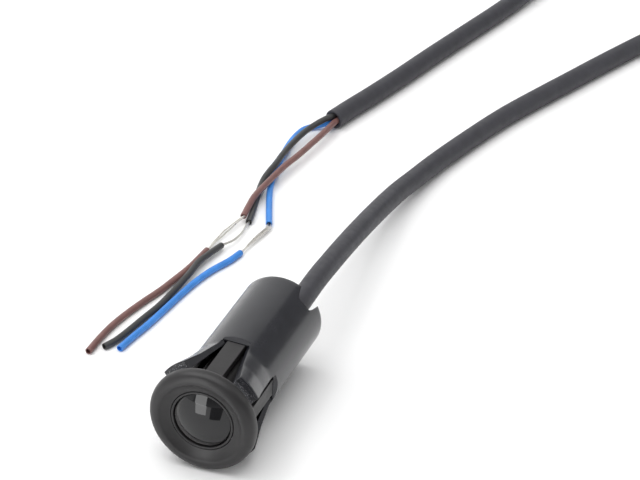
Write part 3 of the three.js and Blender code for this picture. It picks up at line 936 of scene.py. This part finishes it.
def make_lens():
    ball = (LENS_R ** 2 + LENS_SAG ** 2) / (2 * LENS_SAG)
    span = math.asin(LENS_R / ball)
    steps = 40
    dome = []
    for i in range(steps + 1):
        turn = span * i / steps
        dome.append((ball * math.sin(turn), LENS_EDGE_Y - LENS_SAG + ball * (1 - math.cos(turn))))
    dome[0] = (0, dome[0][1])
    back = [(LENS_R, LENS_RIM_Y), (LENS_SPIGOT_R, LENS_RIM_Y), (LENS_SPIGOT_R, LENS_BACK_Y), (0, LENS_BACK_Y)]
    lens = new_object("dome_lens", mesh_from(lathe, dome + back, 128, False), 35)
    return show(in_head(lens, 0), "sensor_body", ["lens"], "lens")


# ---------- the potted rear ----------
def make_potting():
    """Resin that climbs a little up the barrel's wall."""
    wall = BORE_R - 0.02 * MM
    rim, level = (wall, POTTING_Y + POTTING_CLIMB), (wall - POTTING_FILLET, POTTING_Y)
    profile = [(0, POTTING_START_Y), (wall, POTTING_START_Y), rim]
    profile += bow(rim, (wall - 0.1 * MM, POTTING_Y), level, 6)
    profile += [level, (0, POTTING_Y)]
    plug = new_object("potting", mesh_from(lathe, profile, 96, False), 30)
    bore_r, bore_start, bore_end = CABLE_R - 0.05 * MM, POTTING_START_Y - 1.4 * MM, POTTING_Y + 1.6 * MM
    bore_profile = [(0, bore_start), (bore_r, bore_start), (bore_r, bore_end), (0, bore_end)]
    bore = new_object("bore", mesh_from(lathe, bore_profile, 48, False))
    bore.data.transform(Matrix.Translation((EXIT_X, 0, EXIT_Z)))
    joined(plug, [bore], "DIFFERENCE")
    plug.data.set_sharp_from_angle(angle=math.radians(30))
    return show(in_head(plug, 0), "sensor_body", ["rear_potting"], "potting")


make_collar()
make_barrel()
for wing_number in (1, 2, 3, 4):
    make_wing(wing_number)
make_optic_tube()
make_lens()
make_potting()


# ---------- the parts inside the barrel keep their CAD shapes ----------
INSIDE = {
    "board": ["circuit_board"],
    "chip": ["detector", "amplifier_ic", "output_transistor", "protection_diode", "resistor_a", "resistor_b"],
    "ceramic": ["capacitor_a", "capacitor_b"],
    "tinned_copper": ["detector_lead_a", "detector_lead_b", "cable_clamp"],
    "wire_brown": ["core_brown"],
    "wire_black": ["core_black"],
    "wire_blue": ["core_blue"],
}
for finish, names in INSIDE.items():
    for name in names:
        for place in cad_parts[name].material_slots:
            place.material = materials[finish]


# ---------- studio ----------
FLOOR_SIZE = 40.0
FLOOR_GAP = 0.02 * MM
PAPER_WHITE = 0.97
HEAD_MIDDLE = Vector((0, 0, AXIS_Z))


def make_floor():
    def sheet(form):
        half = FLOOR_SIZE / 2
        corners = ((-half, -half), (half, -half), (half, half), (-half, half))
        form.faces.new([form.verts.new((x, y, -FLOOR_GAP)) for x, y in corners])

    floor = new_object("floor", mesh_from(sheet))
    paper = bpy.data.materials.new("pale_paper")
    paper.use_nodes = True
    shader = paper.node_tree.nodes["Principled BSDF"]
    shader.inputs["Base Color"].default_value = (PAPER_WHITE, PAPER_WHITE, PAPER_WHITE, 1)
    shader.inputs["Roughness"].default_value = 0.9
    shader.inputs["Specular IOR Level"].default_value = 0.1
    floor.data.materials.append(paper)


HORIZON_LIGHT = 0.45
ROOM_LIGHT = 0.31
GLOW_TOP = 0.15     # the sine of the elevation above which the room is plain grey
CARD_END = 2.0      # how far in front of the lens the cards end


def direction(azimuth, elevation):
    """Towards a place in the studio. Azimuth 0 is in front of the lens, 90 on the +X side."""
    a, e = math.radians(azimuth), math.radians(elevation)
    return Vector((math.sin(a) * math.cos(e), -math.cos(a) * math.cos(e), math.sin(e)))


def soft_box(name, azimuth, elevation, distance, width, height, radiance):
    """An evenly lit soft box that faces the head."""
    light = bpy.data.lights.new(name, "AREA")
    light.shape = "RECTANGLE"
    light.size = width
    light.size_y = height
    light.energy = radiance * math.pi * width * height
    lamp = bpy.data.objects.new(name, light)
    bpy.context.scene.collection.objects.link(lamp)
    back = direction(azimuth, elevation)
    lamp.location = HEAD_MIDDLE + back * distance
    lamp.rotation_euler = (-back).to_track_quat("-Z", "Y").to_euler()
    lamp.visible_camera = False


def card(name, left, right, near, tone=0.0, glow=0.0):
    """A card on the floor in front of the lens, between two azimuths. It only shows in reflections."""
    def sheet(form):
        foot = Vector((0, HEAD_Y + LENS_EDGE_Y, FLOOR_GAP))
        corners = ((left, near), (right, near), (right, CARD_END), (left, CARD_END))
        form.faces.new([form.verts.new(foot + direction(azimuth, 0) * far) for azimuth, far in corners])

    piece = new_object(name, mesh_from(sheet))
    paint = bpy.data.materials.new(name)
    paint.use_nodes = True
    shader = paint.node_tree.nodes["Principled BSDF"]
    shader.inputs["Base Color"].default_value = (tone, tone, tone, 1)
    shader.inputs["Roughness"].default_value = 0.9
    shader.inputs["Emission Color"].default_value = (1, 1, 1, 1)
    shader.inputs["Emission Strength"].default_value = glow
    piece.data.materials.append(paint)
    piece.visible_camera = False
    piece.visible_diffuse = False
    piece.visible_shadow = False


def make_world():
    """A grey room that gets lighter towards the horizon, where it meets the white floor."""
    world = bpy.data.worlds.new("studio")
    world.use_nodes = True
    tree = world.node_tree
    background = tree.nodes["Background"]
    background.inputs["Color"].default_value = (1, 1, 1, 1)
    place = tree.nodes.new("ShaderNodeTexCoord")
    height = tree.nodes.new("ShaderNodeSeparateXYZ")
    tree.links.new(place.outputs["Generated"], height.inputs["Vector"])
    fade = tree.nodes.new("ShaderNodeMapRange")
    fade.interpolation_type = "SMOOTHSTEP"
    fade.inputs["From Min"].default_value = 0.0
    fade.inputs["From Max"].default_value = GLOW_TOP
    fade.inputs["To Min"].default_value = HORIZON_LIGHT
    fade.inputs["To Max"].default_value = ROOM_LIGHT
    tree.links.new(height.outputs["Z"], fade.inputs["Value"])
    tree.links.new(fade.outputs["Result"], background.inputs["Strength"])
    bpy.context.scene.world = world


def make_studio():
    make_floor()
    make_world()
    bpy.context.scene.view_settings.view_transform = "Standard"
    # name, azimuth, elevation, distance, width, height, radiance
    soft_box("overhead_box", 0, 88, 1.2, 1.2, 1.2, 2.35)
    soft_box("high_left_box", -90, 55, 1.2, 0.8, 0.7, 2.1)
    soft_box("back_left_box", -155, 22, 1.2, 1.52, 1.0, 0.82)
    soft_box("left_box", -74, 22, 1.2, 2.1, 1.0, 0.38)
    soft_box("front_soft_box", -20, 14, 1.0, 0.36, 0.6, 3.6)
    soft_box("right_box", 118, 30, 1.2, 0.45, 0.7, 1.4)
    card("dark_card", -1, 20, 0.0245, tone=0.12)
    card("lit_card", -29, -9, 0.036, glow=4.0)


make_studio()
